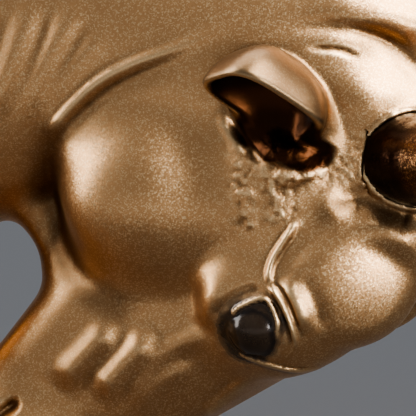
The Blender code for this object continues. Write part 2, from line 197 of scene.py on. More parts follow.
FACE_FOLDS = (
    # crevice between the cheek and the throat
    (((8.4, -41.3), (14.0, -39.3), (19.0, -34.7), (21.4, -29.9), (22.1, -25.0), (21.2, -19.4),
      (19.5, -14.1)), 2.8, -1.5, 0.3, 0.3),
    # side of the muzzle
    (((34.6, -9.3), (31.9, -9.8), (26.1, -11.0), (19.4, -12.6)), 2.4, 1.5, 0.3, 0.3),
    (((30.2, -4.4), (25.8, -5.6), (20.3, -6.9), (15.2, -7.6)), 2.7, 1.7, 0.3, 0.3),
    (((32.3, -6.8), (27.6, -8.1), (22.9, -9.3), (17.9, -10.2)), 1.6, -0.3, 0.3, 0.3),
    (((28.9, -1.6), (23.5, -3.4), (19.1, -4.5), (14.6, -5.3)), 1.8, -0.5, 0.3, 0.3),
    (((28.2, -0.2), (21.7, -3.1), (16.0, -4.6), (11.3, -3.5), (8.6, -0.6)), 1.6, 0.7, 0.3, 0.3),
    (((26.7, 0.8), (20.6, -0.9), (15.8, -0.8), (13.5, 1.1)), 1.5, 0.5, 0.3, 0.3),
    (((19.9, 6.7), (14.0, 6.1), (5.3, 5.8)), 1.3, 0.8, 0.2, 0.4),
    # brow, forehead, and the hollow between the forehead and the horn
    (((-13.7, -10.2), (-10.3, -8.6), (-7.1, -7.2), (-5.1, -5.5), (-4.2, -3.5)), 0.55, 0.7, 0.3, 0.2),
    (((-6.2, -4.6), (-6.5, -1.2), (-5.9, 2.0), (-4.7, 4.9)), 1.2, 0.8, 0.35, 0.3),
    (((-9.9, -4.5), (-9.2, -0.3), (-7.9, 3.8), (-6.0, 6.8)), 1.3, -0.6, 0.3, 0.3),
    (((-13.3, -5.6), (-17.3, -4.4), (-21.6, -0.4), (-23.9, 3.6)), 1.8, 0.15, 0.3, 0.2),
    (((-17.2, -8.7), (-21.5, -7.2), (-25.6, -3.4), (-28.0, 0.4)), 2.5, -1.6, 0.3, 0.2),
    # cheekbone
    (((10.0, -4.5), (4.9, -6.9), (1.0, -7.8)), 2.1, 0.4, 0.3, 0.3),
)
# Cut after the ear and the eyeball are on
LAST_FOLDS = (
    # groove and thin edge of skin round the ear's root
    (((-12.8, -29.1), (-12.6, -25.1), (-13.1, -20.6), (-15.9, -16.8), (-19.8, -15.0), (-23.3, -16.5)),
     0.9, -0.7, 0.15, 0.15),
    (((-11.9, -30.0), (-11.4, -26.0), (-11.9, -21.5)), 1.0, 0.5, 0.3, 0.3),
    # upper lid and the groove over it
    (((3.8, -3.4), (1.7, -3.9), (-0.2, -3.7), (-2.2, -3.2), (-2.9, -1.9), (-2.3, 0.8), (-0.3, 3.9)),
     0.42, 0.5, 0.15, 0.25),
    (((6.6, -4.8), (3.3, -5.7), (-0.9, -5.3), (-3.5, -4.1)), 0.8, -0.4, 0.2, 0.2),
    # double fold in front of the eye
    (((-4.1, -4.5), (-4.5, -1.6), (-3.7, 2.4), (-1.7, 6.3)), 0.5, 0.75, 0.15, 0.3),
    (((-3.2, -2.9), (-3.4, -0.3), (-2.6, 3.1), (-1.0, 5.5)), 0.45, -0.4, 0.2, 0.3),
    (((-5.2, -4.5), (-5.4, -1.3), (-4.6, 2.3), (-3.1, 5.4)), 0.5, -0.35, 0.2, 0.3),
    # lower rim of the orbit
    (((6.6, 1.2), (5.3, 3.0), (3.1, 5.9), (0.6, 8.7), (-2.4, 10.3)), 0.4, 0.5, 0.2, 0.3),
)
# Between these distances from the middle plane a fold comes up to its full height, a dressed dome to its
# full depth, and the eye's wash to its full cover
FOLD_START = (2.0, 6.0)
DOME_START = (5.0, 9.0)
EYE_WASH_START = (8.0, 11.0)
# The mouth runs from its corner round the muzzle and through the middle plane
MOUTH = (((39.6, -11.0), (46.5, -10.4), (53.0, -9.6), (58.0, -9.3)), 1.0, -1.5, 0.15, 0.0)
# Where the casting's skin was left rough from the mould, below the ear and towards the horn: course, width
ROUGH_SKIN = (
    (((-17.0, -20.0), (-14.0, -16.0), (-11.5, -12.5)), 2.8),
    (((-6.5, -14.5), (-8.5, -17.5), (-10.5, -21.0)), 2.0),
    (((-17.0, -15.5), (-20.5, -14.0), (-23.5, -12.5)), 2.6),
)

# The glue bead's lumps: how much they stand out, as a share of its radius, and their size
BEAD_LUMPS = 0.4
BEAD_LUMP_SIZE = 1.1
# The rough skin's lumps: size, share of the height
ROUGH_LUMPS = ((1.5, 1.0), (0.8, 0.6))

# Large odd numbers that scatter the noise's values, and the bits of them that are kept
SCATTER = (73856093, 19349663, 83492791)
SEED_SCATTER = 2654435761
STIR, STIR_START = 1103515245, 12345
KEPT_BITS = 0xFFFFFF

# The skin's bend is measured this far to each side of a point, and its wider swell this far
BEND_REACH = 0.3
SWELL_REACH = 1.3
# A corner of the mesh takes its face's normal, and not the form's, where the cosine between the two is below
# SHARP_TURN, and where the face looks straight down
SHARP_TURN = 0.55
LOOKS_DOWN = 0.999

# The colour sockets of a Mix node: the two that go in, and the one that comes out
COLOUR_A, COLOUR_B, MIXED = 6, 7, 2


def srgb(text):
    """A hex colour such as "#a07040" as linear red, green and blue."""
    channels = [int(text[i:i + 2], 16) / 255 for i in (1, 3, 5)]
    return tuple(c / 12.92 if c <= 0.04045 else ((c + 0.055) / 1.055) ** 2.4 for c in channels)


class BullBustSizes(PropertyGroup):
    """How finely the bust is made, and the size of its small detail"""
    skin_step: FloatProperty(
        name="Skin step", description="Spacing of the points that the skin is worked out at",
        default=0.0003, min=0.0002, max=0.001, precision=5, unit="LENGTH")
    skin_faces: IntProperty(
        name="Skin triangles", description="How many triangles the head keeps",
        default=190000, min=20000, max=199000)
    fold_height: FloatProperty(
        name="Fold height", description="Height of the folds and grooves, as a share of the modelled height",
        default=1.0, min=0.0, max=1.5, subtype="FACTOR")
    rough_height: FloatProperty(
        name="Rough skin", description="How far the rough skin under the ear stands out", default=0.00022,
        min=0.0, max=0.0005, precision=5, unit="LENGTH")
    bead: FloatProperty(
        name="Glue bead", description="Radius of the bead of glue round each horn's root", default=0.00034,
        min=0.0001, max=0.001, precision=5, unit="LENGTH")
    flake: FloatProperty(
        name="Flake", description="Width of one metal flake in the paint", default=0.00014, min=0.00005,
        max=0.001, precision=5, unit="LENGTH")


class BullBustColours(PropertyGroup):
    """The colours of the paint's coats and of the floor"""
    bronze: FloatVectorProperty(
        name="Bronze", description="Body of the metal paint", subtype="COLOR", default=srgb("#b98f64"))
    # Also laid on the tops of the folds, as painted highlight as well as wear
    pale: FloatVectorProperty(
        name="Pale flakes", description="Palest flakes, and the worn tops of the folds", subtype="COLOR",
        default=srgb("#e2c79c"))
    # Also used as painted shade: in the grooves, behind the jaw, under the horn and under the ear
    wash_and_shade: FloatVectorProperty(
        name="Dark wash", description="Brown wash that stays in the grooves", subtype="COLOR",
        default=srgb("#2a170b"))
    leaf: FloatVectorProperty(
        name="Ear leaf", description="Greyer, duller coat on the outside of the ears", subtype="COLOR",
        default=srgb("#493828"))
    horn: FloatVectorProperty(
        name="Horn", description="Darker bronze of the horns", subtype="COLOR", default=srgb("#4f3623"))
    eye: FloatVectorProperty(
        name="Eye", description="Near-black gloss paint of the eyes", subtype="COLOR",
        default=srgb("#17110e"))
    floor: FloatVectorProperty(
        name="Floor", description="Plain pale floor", subtype="COLOR", default=srgb("#dcdee2"))


def head_axes():
    """The ways along the face to the muzzle and out of the forehead, as (forwards, sideways, up)."""
    drop = radians(FACE_DROP)
    return np.array([[-cos(drop), 0, -sin(drop)], [sin(drop), 0, -cos(drop)]], np.float32)


def on_left(p):
    """Points of the bust, either side, as if all were on its left."""
    return np.column_stack([p[:, 0], np.abs(p[:, 1]), p[:, 2]])


def in_head_frame(p):
    """Points of the bust, either side, as (to the muzzle, out of the forehead, sideways)."""
    station = np.array([EYE_STATION[0], 0, EYE_STATION[1]], np.float32)
    along, out = ((p - station) @ head_axes().T).T
    return np.stack([along, out, np.abs(p[:, 1])], axis=1)


def joined(a, b, blend):
    """Both forms, with a fillet where they meet."""
    h = np.maximum(blend - np.abs(a - b), 0) / blend
    return np.minimum(a, b) - h * h * blend / 4


def hollowed(a, b, blend):
    """The first form with the second taken out of it."""
    return -joined(-a, b, blend)


def ellipsoid(q, centre, radii):
    """About how far points are outside an ellipsoid; inside, it is negative."""
    radii = np.array(radii, np.float32)
    s = (q - np.array(centre, np.float32)) / radii
    near = np.linalg.norm(s, axis=1) + 1e-6
    slope = np.linalg.norm(s / radii, axis=1) + 1e-6
    return near * (near - 1) / slope


def taper(q, start, end, start_radius, end_radius):
    """How far points are outside a round bar that runs from one radius to another."""
    start, end = np.array(start, np.float32), np.array(end, np.float32)
    way = end - start
    share = np.clip(((q - start) @ way) / (way @ way), 0, 1)
    radius = start_radius + (end_radius - start_radius) * share
    return np.linalg.norm(q - start - share[:, None] * way, axis=1) - radius


def rounded_course(points, cuts=6):
    """A smooth curve through the given points, as short straight lengths."""
    points = np.array(points, float)
    if len(points) < 3:
        return points
    ends = np.vstack([2 * points[0] - points[1], points, 2 * points[-1] - points[-2]])
    t = np.linspace(0, 1, cuts, endpoint=False)[:, None]
    runs = []
    for a, b, c, d in zip(ends, ends[1:], ends[2:], ends[3:]):
        bend = (2 * a - 5 * b + 4 * c - d) * t ** 2 + (3 * b - a - 3 * c + d) * t ** 3
        runs.append(0.5 * (2 * b + (c - a) * t + bend))
    return np.vstack([*runs, points[-1:]])


def nearest_on_course(q, course):
    """Distance to the course, and how far along it, from 0 to 1."""
    lengths = np.concatenate([[0], np.cumsum(np.linalg.norm(np.diff(course, axis=0), axis=1))])
    best, share = np.full(len(q), 1e9), np.zeros(len(q))
    for i, (a, b) in enumerate(zip(course, course[1:])):
        h = np.clip(((q - a) @ (b - a)) / ((b - a) @ (b - a)), 0, 1)
        distance = np.linalg.norm(q - a - h[:, None] * (b - a), axis=1)
        nearer = distance < best
        best[nearer] = distance[nearer]
        share[nearer] = (lengths[i] + h * (lengths[i + 1] - lengths[i]))[nearer] / lengths[-1]
    return best, share


def eased(t):
    """From 0 to 1 with soft ends."""
    t = np.clip(t, 0, 1)
    return t * t * (3 - 2 * t)


def risen(value, low, high):
    """0 below the low value, 1 above the high one, eased between."""
    return eased((value - low) / (high - low))


def beside(side, course, reach):
    """Which points lie in the course's own box, widened by its reach."""
    return np.all((side > course.min(0) - reach) & (side < course.max(0) + reach), axis=1)


def folded(d, q, fold, start=FOLD_START, height_share=1.0):
    """The form with one fold raised on it, or one groove sunk into it."""
    points, width, height, fade_in, fade_out = fold
    course = rounded_course(points)
    side = q[:, :2]
    near = beside(side, course, 2.6 * width)
    distance, share = nearest_on_course(side[near], course)
    strength = np.exp(-(distance / width) ** 2)
    if start:
        strength *= risen(q[near, 2], *start)
    for fade, run in ((fade_in, share), (fade_out, 1 - share)):
        if fade:
            strength *= eased(run / fade)
    d = d.copy()
    d[near] -= height * height_share * strength
    return d


def pebbles(q, size, seed):
    """Smooth noise between -1 and 1 with lumps of about that size."""
    cell = q / size
    low = np.floor(cell).astype(np.int64)
    part = eased(cell - low)
    total = np.zeros(len(q))
    for corner in np.ndindex(2, 2, 2):
        at = low + corner
        code = np.bitwise_xor.reduce(at * SCATTER, axis=1) ^ (seed * SEED_SCATTER)
        code = ((code & KEPT_BITS) * STIR + STIR_START) & KEPT_BITS
        weight = np.prod(np.where(np.array(corner), part, 1 - part), axis=1)
        total += weight * (code / (KEPT_BITS // 2) - 1)
    return total


def rough_share(h):
    """From 0 to 1, how rough the skin is at points of the head frame."""
    share = np.zeros(len(h))
    for points, width in ROUGH_SKIN:
        course = rounded_course(points)
        near = beside(h[:, :2], course, 2.4 * width)
        distance, _ = nearest_on_course(h[near, :2], course)
        share[near] = np.maximum(share[near], np.exp(-(distance / width) ** 2))
    return share * risen(h[:, 2], *FOLD_START)


def pillow(r, centre, radii):
    """An ellipsoid made squarer in its first two directions."""
    r = r - np.array(centre, np.float32)
    part = np.abs(r) / np.array(radii, np.float32)
    flat = (part[:, 0] ** EAR_FULLNESS + part[:, 1] ** EAR_FULLNESS) ** (1 / EAR_FULLNESS)
    share = np.maximum(np.hypot(flat, part[:, 2]), 0.01)
    return np.linalg.norm(r, axis=1) * (1 - 1 / share)


def ear_frame():
    """The ways along the ear, across it and out of its mouth."""
    along = np.array(EAR_ALONG) / np.linalg.norm(EAR_ALONG)
    mouth = np.array(EAR_MOUTH) - np.dot(EAR_MOUTH, along) * along
    mouth /= np.linalg.norm(mouth)
    return np.array([along, np.cross(mouth, along), mouth], np.float32)


def in_ear_frame(q):
    """Points of the bust's left side as (along the ear, across it, out of its mouth)."""
    return (q - np.array(EAR_CENTRE, np.float32)) @ ear_frame().T


def ear_cup(r):
    """The hollow of the ear, in the ear's frame."""
    inner = np.array(EAR_RADII) - WALL
    inner[2] -= WALL
    return pillow(r, EAR_HOLLOW, inner)


def ear_form(q):
    """A cupped leaf cut off at its mouth, on a short root with a lobe below."""
    r = in_ear_frame(q)
    cup = ear_cup(r)
    leaf = -joined(-pillow(r, (0, 0, 0), EAR_RADII), EAR_CUT - r[:, 2], EAR_RIM_BLEND)
    root_end, tip_radius, root_radius = EAR_ROOT
    root_start = np.array(EAR_CENTRE, np.float32) - np.array(EAR_ROOT_BACK, np.float32) @ ear_frame()
    root = taper(q, root_start, root_end, tip_radius, root_radius)
    leaf, root = hollowed(leaf, cup, EAR_HOLLOW_BLEND), hollowed(root, cup, EAR_HOLLOW_BLEND)
    ear = joined(leaf, root, EAR_ROOT_BLEND)
    return joined(ear, ellipsoid(q, *EAR_LOBE), EAR_LOBE_BLEND)


def dressed(d, q, beside_middle, sideways, patch):
    """The form with a patch of its side worked over to a part of a large ball."""
    centre, radius, middle, reach, softness = patch
    dome = np.linalg.norm(q - np.array(centre, np.float32), axis=1) - radius
    off = np.linalg.norm(beside_middle - np.array(middle, np.float32), axis=1)
    return d + eased((reach - off) / softness) * risen(sideways, *DOME_START) * (dome - d)


def head_form(h):
    """The head without its ears, eyes and folds."""
    d = None
    for start, end, start_radius, end_radius, blend in TAPERS:
        bar = taper(h, start, end, start_radius, end_radius)
        d = bar if d is None else joined(d, bar, blend)
    for centre, radii, blend in HEAD_MASSES:
        d = joined(d, ellipsoid(h, centre, radii), blend)
    d = dressed(d, h, h[:, :2], h[:, 2], FOREHEAD)
    return hollowed(d, ellipsoid(h, *NOSTRIL), NOSTRIL_BLEND)


def neck_form(q):
    """The neck and shoulders, still round below."""
    d = None
    for centre, radii, blend in NECK_MASSES:
        mass = ellipsoid(q, centre, radii)
        d = mass if d is None else joined(d, mass, blend)
    return d


def horn_way(side):
    """The way the plug points, out of the head; side = 1 for the horn at +Y, -1 for the one at -Y."""
    toe = radians(HORN_TOE)
    return np.array([cos(toe), side * sin(toe), 0])


def horn_seat(side):
    """The end of the horn's plug."""
    return np.array(HORN_MOUTH) * UNIT * (1, side, 1) - horn_way(side) * SOCKET_DEPTH


def horn_course(side, cuts):
    """The horn's middle line."""
    seat, way = horn_seat(side), horn_way(side)
    curl = [np.array([x, side * share * HALF_SPREAD, z]) * UNIT for x, share, z in HORN_COURSE]
    return rounded_course([seat, seat + way * SOCKET_DEPTH / 2, seat + way * SOCKET_DEPTH, *curl], cuts)


def along_plug(q):
    """How far along the plug from its end, and how far from its middle line."""
    from_seat = q - (horn_seat(1) / UNIT).astype(np.float32)
    way = horn_way(1).astype(np.float32)
    along = from_seat @ way
    return along, np.linalg.norm(from_seat - along[:, None] * way, axis=1)


def with_socket(d, q, bead):
    """A lumpy bead of glue round the horn's root, and then the socket."""
    along, out = along_plug(q)
    horn = HORN_THICKNESS / 2 / UNIT
    gap = SOCKET_CLEARANCE / UNIT
    socket = np.maximum(out - horn - gap, np.maximum(-gap - along, along - 4 * SOCKET_DEPTH / UNIT))
    sunk = np.maximum(d, -socket)
    near = (along > 0) & (along < 3 * SOCKET_DEPTH / UNIT) & (out < 2 * horn)
    lumps = 1 + BEAD_LUMPS * pebbles(q[near], BEAD_LUMP_SIZE, 5)
    ring = np.hypot(d[near] + 0.1, out[near] - horn - 0.7 * bead / UNIT) - bead / UNIT * lumps
    sunk[near] = joined(sunk[near], ring, BEAD_BLEND)
    return sunk


def skin_form(p, sizes):
    """Negative inside the casting, positive outside, nought on its skin."""
    q, h = on_left(p), in_head_frame(p)
    d = joined(neck_form(q), head_form(h), NECK_BLEND)
    d = dressed(d, q, q[:, ::2], q[:, 1], POLL)
    for fold in NECK_FOLDS + FACE_FOLDS:
        d = folded(d, h, fold, FOLD_START, sizes.fold_height)
    d = folded(d, h, MOUTH, None, sizes.fold_height)
    d = joined(d, ear_form(q), EAR_BLEND)
    ball_centre, ball_radius = EYEBALL
    ball = np.linalg.norm(h - np.array(ball_centre, np.float32), axis=1) - ball_radius
    d = joined(d, ball, EYE_BLEND)
    for fold in LAST_FOLDS:
        d = folded(d, h, fold, FOLD_START, sizes.fold_height)
    rough = rough_share(h)
    lumpy = rough > 0.02
    relief = sum(share * pebbles(q[lumpy], size, seed)
                 for seed, (size, share) in enumerate(ROUGH_LUMPS, start=1))
    d[lumpy] -= rough[lumpy] * relief * sizes.rough_height / UNIT
    return with_socket(d, q, sizes.bead)


def sampled(form, points, portion=120000):
    """The form's values at the points, a portion at a time on four threads."""
    parts = [points[i:i + portion] for i in range(0, len(points), portion)]
    with ThreadPoolExecutor(4) as pool:
        return np.concatenate(list(pool.map(form, parts)))


def skin_of(form, low, high, step):
    """Points and faces of the form's skin. The form is alike on both sides of y = 0, so one side is
    sampled, and only the blocks near the skin finely."""
    low = np.array(low)
    size = GRID_BLOCK * step
    blocks = np.ceil((np.array(high) - low) / size).astype(int)
    middles = np.stack(np.meshgrid(*[np.arange(n) for n in blocks], indexing="ij"), -1).reshape(-1, 3)
    coarse = sampled(form, (low + (middles + 0.5) * size - step / 2).astype(np.float32)).reshape(blocks)
    half = np.sign(coarse).astype(np.float32) * size
    for axis in range(3):
        half = np.repeat(half, GRID_BLOCK, axis)
    offsets = np.stack(np.meshgrid(*[np.arange(GRID_BLOCK)] * 3, indexing="ij"), -1).reshape(1, -1, 3)
    cells = (np.argwhere(np.abs(coarse) < 1.7 * size)[:, None, :] * GRID_BLOCK + offsets).reshape(-1, 3)
    half[tuple(cells.T)] = sampled(form, (low + cells * step).astype(np.float32))
    grid = np.concatenate([half[:, :0:-1], half], axis=1)
    volume = openvdb.FloatGrid(size)
    volume.copyFromArray(np.ascontiguousarray(grid))
    points, triangles, quads = volume.convertToPolygons(0.0, 0.0)
    points = points * step + low - (0, (half.shape[1] - 1) * step, 0)
    return points, [tuple(f[::-1]) for f in quads] + [tuple(f[::-1]) for f in triangles]


def new_object(name, data):
    obj = bpy.data.objects.new(name, data)
    bpy.context.scene.collection.objects.link(obj)
    return obj


def with_modifiers_applied(obj):
    """Swaps the object's mesh for what its modifiers make of it."""
    mesh = bpy.data.meshes.new_from_object(obj.evaluated_get(bpy.context.evaluated_depsgraph_get()))
    obj.modifiers.clear()
    obj.data = mesh
    return obj


def cut_flat(obj):
    """Cuts off what hangs below z = 0 and closes the cut with one flat face."""
    bm = bmesh.new()
    bm.from_mesh(obj.data)
    cut = bmesh.ops.bisect_plane(bm, geom=bm.verts[:] + bm.edges[:] + bm.faces[:], dist=1e-7,
                                 plane_co=(0, 0, 0), plane_no=(0, 0, -1), clear_outer=True)
    rim = [e for e in cut["geom_cut"] if isinstance(e, bmesh.types.BMEdge)]
    bmesh.ops.edgeloop_fill(bm, edges=rim)
    bmesh.ops.recalc_face_normals(bm, faces=bm.faces[:])
    bm.to_mesh(obj.data)
    bm.free()


def node(tree, kind, settings=None, inputs=None):
    """Adds a node with its settings. Each input, by name or number, is fed by a socket or set to a value."""
    made = tree.nodes.new(kind)
    for name, value in (settings or {}).items():
        setattr(made, name, value)
    for name, value in (inputs or {}).items():
        if isinstance(value, bpy.types.NodeSocket):
            tree.links.new(value, made.inputs[name])
        else:
            made.inputs[name].default_value = value
    return made


def metal_paint(name, body, pale, flake, tilt):
    """The start of a metal paint: flakes lie at slightly different tilts, so each catches the light by
    itself, and the coat is a little uneven over a few millimetres. Gives the material, the place on the
    piece, the coat's colour and the flakes' tilts."""
    material = bpy.data.materials.new(name)
    material.use_nodes = True
    tree = material.node_tree
    place = node(tree, "ShaderNodeTexCoord").outputs["Object"]
    flakes = node(tree, "ShaderNodeTexVoronoi", {"voronoi_dimensions": "3D"},
                  {"Vector": place, "Scale": 1 / flake}).outputs["Color"]
    centred = node(tree, "ShaderNodeVectorMath", {"operation": "SUBTRACT"}, {0: flakes, 1: (0.5, 0.5, 0.5)})
    leaning = node(tree, "ShaderNodeVectorMath", {"operation": "SCALE"},
                   {0: centred.outputs[0], "Scale": tilt})
    chance = node(tree, "ShaderNodeSeparateColor", inputs={"Color": flakes})
    bright = node(tree, "ShaderNodeMapRange", {"interpolation_type": "SMOOTHSTEP"},
                  {"Value": chance.outputs["Red"], "From Min": 0.55, "From Max": 1.0, "To Max": 0.55})
    sparkling = node(tree, "ShaderNodeMix", {"data_type": "RGBA"},
                     {"Factor": bright.outputs[0], COLOUR_A: (*body, 1), COLOUR_B: (*pale, 1)})
    cloud = node(tree, "ShaderNodeTexNoise", inputs={"Vector": place, "Scale": 1 / 0.006, "Detail": 4.0})
    thin = node(tree, "ShaderNodeMapRange",
                inputs={"Value": cloud.outputs[0], "From Min": 0.35, "From Max": 0.75, "To Max": 0.3})
    shaded = [0.62 * channel for channel in body]
    coat = node(tree, "ShaderNodeMix", {"data_type": "RGBA"},
                {"Factor": thin.outputs[0], COLOUR_A: sparkling.outputs[MIXED], COLOUR_B: (*shaded, 1)})
    return material, place, coat.outputs[MIXED], leaning.outputs[0]


def tilted_normal(tree, height, reach, strength, leaning):
    """The surface's normal with fine relief on it, then each flake's own tilt."""
    bump = node(tree, "ShaderNodeBump", inputs={"Height": height, "Distance": reach, "Strength": strength})
    added = node(tree, "ShaderNodeVectorMath", {"operation": "ADD"}, {0: bump.outputs[0], 1: leaning})
    return node(tree, "ShaderNodeVectorMath", {"operation": "NORMALIZE"}, {0: added.outputs[0]}).outputs[0]


def skin_paint(sizes, colours):
    """Sprayed bronze metal paint on a cast body: satin sparkle on the swells, a pale painted highlight with
    wear on the tops of the folds, a brown wash rubbed into the grooves that is also painted shade there,
    painted shade behind the jaw and under the horn, gloss black on the eyes, and a thick dark glaze in the
    ears that runs on as painted shade over the root and lobe under them."""
    material, place, colour, leaning = metal_paint(
        "sprayed_bronze_paint", colours.bronze, colours.pale, sizes.flake, 0.12)
    tree = material.node_tree
    shader = tree.nodes["Principled BSDF"]
    groove, ridge_highlight_and_wear, rough, black, crevice_shade, hollow, leaf = [
        node(tree, "ShaderNodeAttribute", {"attribute_name": name}).outputs["Fac"]
        for name in ("groove", "ridge_highlight_and_wear", "rough_skin", "eye_paint", "crevice_shade", "ear_hollow", "ear_leaf")]

    # The wash, which in the grooves is painted shade as well, dries in patches of about 2 mm, and the black
    # is rubbed off the tops of the folds, where the pale below shows as wear and painted highlight
    patches = node(tree, "ShaderNodeTexNoise", inputs={"Vector": place, "Scale": 1 / 0.0018, "Detail": 5.0})
    uneven = node(tree, "ShaderNodeMath", {"operation": "ADD"}, {0: patches.outputs[0], 1: 0.55})
    wash_and_shade_share = node(tree, "ShaderNodeMath", {"operation": "MULTIPLY"}, {0: groove, 1: uneven.outputs[0]})
    off_the_ridges = node(tree, "ShaderNodeMath", {"operation": "MULTIPLY_ADD"}, {0: ridge_highlight_and_wear, 1: -0.8, 2: 1.0})
    eye = node(tree, "ShaderNodeMath", {"operation": "MULTIPLY"},
               {0: black, 1: off_the_ridges.outputs[0]}).outputs[0]

    # The coats in the order they went on: where each lies, how well it covers, its colour
    glaze_and_shade = [1.8 * channel for channel in colours.wash_and_shade]
    coats = (
        # pale painted highlight, with wear, on the tops of the folds
        (ridge_highlight_and_wear, 0.5, colours.pale),
        # the wash in the grooves, which is painted shade as well
        (wash_and_shade_share.outputs[0], 1.0, colours.wash_and_shade),
        # painted shade behind the jaw and under the horn
        (crevice_shade, 0.5, colours.wash_and_shade),
        (leaf, 0.8, colours.leaf),
        # the ear's glaze, which is painted shade as well on the root and lobe under the ear
        (hollow, 1.0, glaze_and_shade),
        (eye, 1.0, colours.eye),
    )
    for where, cover, coat in coats:
        share = node(tree, "ShaderNodeMath", {"operation": "MULTIPLY"}, {0: where, 1: cover})
        colour = node(tree, "ShaderNodeMix", {"data_type": "RGBA"},
                      {"Factor": share.outputs[0], COLOUR_A: colour, COLOUR_B: (*coat, 1)}).outputs[MIXED]
    tree.links.new(colour, shader.inputs["Base Color"])

    # Satin all over, duller on the rough skin, glossy on the eyes and in the ears
    roughness = 0.38
    for where, change in ((rough, 0.10), (eye, -0.20), (hollow, -0.08)):
        roughness = node(tree, "ShaderNodeMath", {"operation": "MULTIPLY_ADD"},
                         {0: where, 1: change, 2: roughness}).outputs[0]
    tree.links.new(roughness, shader.inputs["Roughness"])
    metal = node(tree, "ShaderNodeMath", {"operation": "MULTIPLY_ADD"}, {0: eye, 1: -0.7, 2: 1.0})
    tree.links.new(metal.outputs[0], shader.inputs["Metallic"])

    # Crumpled skin of 0.75 mm dents where it was left rough, and a faint orange peel of 1.2 mm all over
    dents = node(tree, "ShaderNodeTexNoise", inputs={"Vector": place, "Scale": 1 / 0.00075, "Detail": 2.0})
    peel = node(tree, "ShaderNodeTexNoise", inputs={"Vector": place, "Scale": 1 / 0.0012, "Detail": 3.0})
    faint = node(tree, "ShaderNodeMath", {"operation": "MULTIPLY"}, {0: peel.outputs[0], 1: 0.10})
    height = node(tree, "ShaderNodeMath", {"operation": "MULTIPLY_ADD"},
                  {0: dents.outputs[0], 1: rough, 2: faint.outputs[0]})
    # No flake shows through the eye's black, the ear's dull coat, or the glaze and painted shade in and
    # under the ear
    covered = eye
    for coat in (leaf, hollow):
        covered = node(tree, "ShaderNodeMath", {"operation": "MAXIMUM"}, {0: covered, 1: coat}).outputs[0]
    bare = node(tree, "ShaderNodeMath", {"operation": "SUBTRACT"}, {0: 1.0, 1: covered})
    leaning = node(tree, "ShaderNodeVectorMath", {"operation": "SCALE"},
                   {0: leaning, "Scale": bare.outputs[0]})
    normal = tilted_normal(tree, height.outputs[0], 0.0004, 0.5, leaning.outputs[0])
    tree.links.new(normal, shader.inputs["Normal"])
    return material


def horn_paint(sizes, colours):
    """The same bronze paint in a darker, thicker and smoother coat, so the horn has tight, wet-looking
    lights."""
    material, place, colour, leaning = metal_paint(
        "smooth_dark_bronze_paint", colours.horn, colours.bronze, sizes.flake, 0.10)
    tree = material.node_tree
    shader = tree.nodes["Principled BSDF"]
    shader.inputs["Metallic"].default_value = 1.0
    shader.inputs["Roughness"].default_value = 0.24
    seam = node(tree, "ShaderNodeAttribute", {"attribute_name": "seam"}).outputs["Fac"]
    coat = node(tree, "ShaderNodeMix", {"data_type": "RGBA"},
                {"Factor": seam, COLOUR_A: colour, COLOUR_B: (*colours.wash_and_shade, 1)})
    tree.links.new(coat.outputs[MIXED], shader.inputs["Base Color"])
    # The thick coat has sagged into swells of about 4 mm
    swells = node(tree, "ShaderNodeTexNoise", inputs={"Vector": place, "Scale": 1 / 0.004, "Detail": 3.0})
    normal = tilted_normal(tree, swells.outputs[0], 0.0006, 0.4, leaning)
    tree.links.new(normal, shader.inputs["Normal"])
    return material


def skin_details(p, sizes):
    """At points of the skin: outward normals, distance off the skin, and how hollow or how raised the place
    is, close by and over a few millimetres."""
    def form(q):
        return skin_form(q, sizes)

    ways = np.vstack([np.eye(3), -np.eye(3)]).astype(np.float32)
    here = sampled(form, p)
    close, wide = [np.stack([sampled(form, p + way * reach) for way in ways])
                   for reach in (BEND_REACH, SWELL_REACH)]
    normals = (close[:3] - close[3:]).T
    normals /= np.linalg.norm(normals, axis=1)[:, None] + 1e-9
    bend = (close.sum(0) - 6 * here) / BEND_REACH ** 2
    swell = (wide.sum(0) - 6 * here) / SWELL_REACH ** 2
    return normals, here, bend, swell


def eye_share(h):
    """1 on the painted eye and in the folds round it, where the black ran, 0 outside."""
    centre, radius = EYEBALL
    off = np.linalg.norm(h - np.array(centre), axis=1) - radius
    ball = eased((0.45 - off) / 0.4)
    ran = np.linalg.norm((h[:, :2] - np.array(EYE_WASH[0])) / np.array(EYE_WASH[1]), axis=1)
    ran = eased((1.12 - ran + 0.12 * pebbles(h, 1.1, 8)) / 0.3) * risen(h[:, 2], *EYE_WASH_START)
    return np.maximum(ball, EYE_WASH_COVER * ran)


def ran_along(h, wash_and_shade):
    """1 where the colour lies along its course on the side of the head, 0 elsewhere, with a wavering edge:
    painted shade behind the jaw and under the horn, and glaze with painted shade under the ear.
    """
    points, width, softness = wash_and_shade
    share = np.zeros(len(h))
    course = rounded_course(points)
    near = beside(h[:, :2], course, width + softness) & (h[:, 2] > 4)
    distance, _ = nearest_on_course(h[near, :2], course)
    share[near] = eased((width - distance + 0.3 * pebbles(h[near], 1.4, 9)) / softness)
    return share


def hollow_share(q, h):
    """1 inside the ear's cup, where the dark glaze ran, and on the root and lobe under it, where the glaze
    is painted shade as well.
    """
    r = in_ear_frame(q)
    cup = eased((0.75 - ear_cup(r)) / 0.5) * risen(r[:, 2], -12, -10)
    return np.maximum(cup, ran_along(h, EAR_GLAZE_AND_SHADE) * risen(r[:, 2], EAR_CUT - 0.6, EAR_CUT))


def leaf_share(q):
    """1 on the outside of the ear's leaf."""
    r = in_ear_frame(q)
    off = np.abs(pillow(r, (0, 0, 0), EAR_RADII))
    return eased((0.9 - off) / 0.6) * eased((EAR_CUT + 0.1 - r[:, 2]) / 0.5)


def store(mesh, name, values):
    """Keeps a number for each point of the mesh, for its material to read."""
    mesh.attributes.new(name, "FLOAT", "POINT").data.foreach_set("value", np.asarray(values, np.float32))


